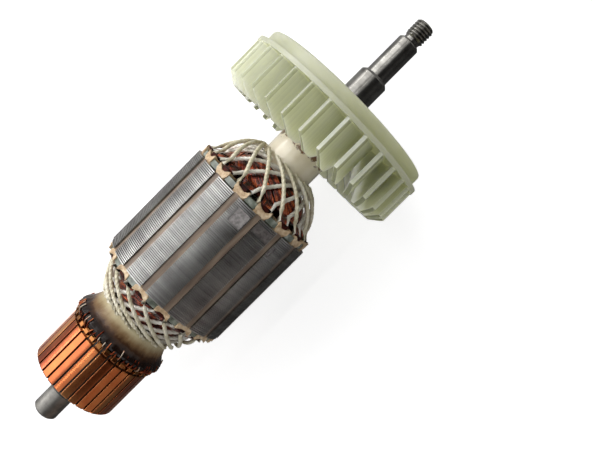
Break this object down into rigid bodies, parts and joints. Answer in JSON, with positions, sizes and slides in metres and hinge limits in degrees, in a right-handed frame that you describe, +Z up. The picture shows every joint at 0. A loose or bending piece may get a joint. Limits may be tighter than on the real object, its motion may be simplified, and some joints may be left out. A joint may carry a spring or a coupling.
{
  "type": "power tool armature",
  "caption": "Wound rotor of a small universal motor: ground shaft, slotted core with laced windings, hooked copper commutator and moulded fan.",
  "frame": {"origin": "on the shaft's axis, at the middle of the drive-end bearing seat", "axes": "+X along the shaft towards the threaded drive end, the commutator at -X; +Z up, through the middle of a tooth of the core"},
  "size_m": [0.2035, 0.0796, 0.0796],
  "materials": {
    "ground_steel": "ground, bright",
    "lamination_steel": "turned edges of stacked sheets",
    "copper": "turned copper, satin",
    "enamelled_wire": "enamelled and varnished copper wire",
    "insulating_board": "grey-green fibre board",
    "slot_paper": "varnished slot paper",
    "wedge_strip": "varnished closing strip",
    "lacing_cord": "twisted cord, varnished",
    "resin": "varnish and resin, glossy",
    "phenolic": "black moulded phenolic",
    "bush_plastic": "cream moulded insulation",
    "fan_nylon": "natural nylon, slightly translucent"
  },
  "bodies": {
    "root": {"shaft": "ground_steel", "shaft_sleeve": "bush_plastic", "lamination_stack": "lamination_steel", "end_insulator_drive": "insulating_board", "end_insulator_rear": "insulating_board", "slot_liners": "slot_paper", "slot_wedges": "wedge_strip", "coil_sides": "enamelled_wire", "winding_head_drive": "enamelled_wire", "winding_head_rear": "enamelled_wire", "lacing_drive_under": "lacing_cord", "lacing_drive_over": "lacing_cord", "lacing_rear_under": "lacing_cord", "lacing_rear_over": "lacing_cord", "lead_resin": "resin", "commutator_moulding": "phenolic", "rear_collar": "bush_plastic", "drive_bush": "bush_plastic", "fan": "fan_nylon", "commutator_bar_01": "copper", "commutator_bar_02": "copper", "commutator_bar_03": "copper", "commutator_bar_04": "copper", "commutator_bar_05": "copper", "commutator_bar_06": "copper", "commutator_bar_07": "copper", "commutator_bar_08": "copper", "commutator_bar_09": "copper", "commutator_bar_10": "copper", "commutator_bar_11": "copper", "commutator_bar_12": "copper", "commutator_bar_13": "copper", "commutator_bar_14": "copper", "commutator_bar_15": "copper", "commutator_bar_16": "copper", "commutator_bar_17": "copper", "commutator_bar_18": "copper", "commutator_bar_19": "copper", "commutator_bar_20": "copper", "commutator_bar_21": "copper", "commutator_bar_22": "copper", "commutator_bar_23": "copper", "commutator_bar_24": "copper", "commutator_bar_25": "copper", "commutator_bar_26": "copper", "commutator_bar_27": "copper", "commutator_bar_28": "copper", "commutator_bar_29": "copper", "commutator_bar_30": "copper", "commutator_bar_31": "copper", "commutator_bar_32": "copper"}
  },
  "joints": []
}
